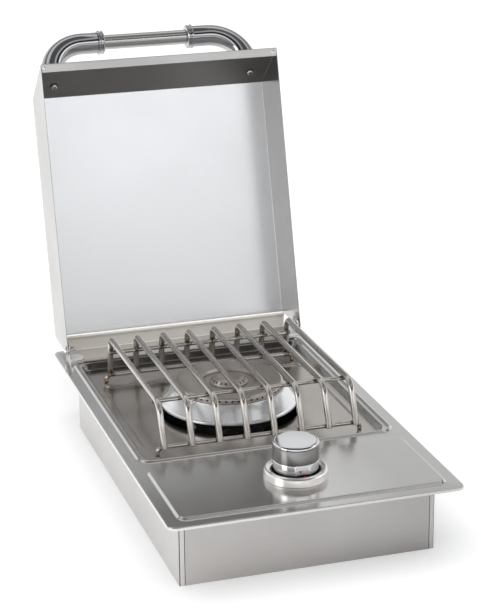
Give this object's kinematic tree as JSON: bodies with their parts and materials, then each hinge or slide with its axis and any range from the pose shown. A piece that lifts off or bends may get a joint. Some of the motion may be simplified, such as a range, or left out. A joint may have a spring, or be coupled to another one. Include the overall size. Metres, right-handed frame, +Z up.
{
  "type": "built in side burner",
  "caption": "Drop-in gas side burner: rimmed box with a drip pan, ring burner under a bar grate, push-and-turn knob and a hinged cover with a bar handle.",
  "frame": {"origin": "centre of the underside of the box", "axes": "+Z up, -Y towards the knob and the user, +Y towards the hinge, X across"},
  "size_m": [0.33, 0.7012, 0.4701],
  "materials": {
    "brushed_steel": "brushed sheet",
    "bright_steel": "bright",
    "chrome": "polished plating",
    "rod_steel": "drawn rod, heat tinted at the welds",
    "plain_steel": "plain sheet",
    "cast_aluminium": "satin cast",
    "cap_metal": "brushed, nickel coloured",
    "brass": "machined",
    "black_plastic": "moulded",
    "red_marker": "coloured insert",
    "ceramic": "glazed",
    "lead_rubber": "silicone sleeve"
  },
  "bodies": {
    "base": {"top_plate": "brushed_steel", "rear_upstand": "brushed_steel", "box_shell": "brushed_steel", "box_front": "brushed_steel", "bottom_pan": "plain_steel", "hinge_bracket_left": "bright_steel", "hinge_bracket_right": "bright_steel", "pivot_screws": "bright_steel", "pivot_washers": "black_plastic", "domed_nuts": "bright_steel", "burner_base": "cast_aluminium", "mixing_tubes": "plain_steel", "air_shutters": "plain_steel", "gas_jets": "brass", "burner_stand": "plain_steel", "burner_screws": "bright_steel", "valve_body": "brass", "valve_bonnet": "brass", "valve_bracket": "plain_steel", "knob_bezel": "brushed_steel", "bezel_liner": "black_plastic", "bezel_pointer": "red_marker", "bezel_screws": "bright_steel", "gas_pipe": "cast_aluminium", "inlet_elbow": "brass", "pipe_clip": "plain_steel", "heat_shield": "plain_steel", "igniter_sleeve": "ceramic", "igniter_electrode": "bright_steel", "igniter_lead": "lead_rubber", "spark_unit": "black_plastic", "spark_unit_stand": "plain_steel"},
    "lid": {"lid_shell": "brushed_steel", "lid_rivets": "bright_steel", "handle_elbow_left": "chrome", "handle_elbow_right": "chrome", "handle_collars": "chrome", "handle_grip": "brushed_steel", "handle_base_rings": "chrome", "handle_washers": "bright_steel", "handle_screws": "bright_steel"},
    "knob_push": {"thrust_washer": "bright_steel"},
    "knob": {"valve_stem": "bright_steel", "knob_hub": "black_plastic", "knob_skirt": "chrome", "knob_band": "brushed_steel", "knob_cap": "chrome", "knob_grub_screw": "bright_steel"},
    "grate": {"grate_bars": "rod_steel", "grate_rod_front_top": "rod_steel", "grate_rod_rear_top": "rod_steel", "grate_rod_front_low": "rod_steel", "grate_rod_rear_low": "rod_steel"},
    "ring_cap": {"outer_ring_cap": "cap_metal"},
    "inner_cap": {"centre_cap": "cap_metal"}
  },
  "joints": [
    {"name": "lid_hinge", "type": "hinge", "parent": "base", "child": "lid", "pos_m": [0, 0.251, 0.0988], "axis": [-1, 0, 0], "range_deg": [-105.2, 0]},
    {"name": "knob_press", "type": "slide", "parent": "base", "child": "knob_push", "axis": [0, 0, -1], "range_m": [0, 0.004], "stiffness_N_per_m": 600, "springref_m": -0.003},
    {"name": "knob_turn", "type": "hinge", "parent": "knob_push", "child": "knob", "pos_m": [0, -0.189, 0.1], "axis": [0, 0, 1], "range_deg": [0, 200]},
    {"name": "grate_lift", "type": "slide", "parent": "base", "child": "grate", "axis": [0, 0, 1], "range_m": [0, 0.15]},
    {"name": "ring_cap_lift", "type": "slide", "parent": "base", "child": "ring_cap", "axis": [0, 0, 1], "range_m": [0, 0.008]},
    {"name": "inner_cap_lift", "type": "slide", "parent": "base", "child": "inner_cap", "axis": [0, 0, 1], "range_m": [0, 0.008]}
  ]
}
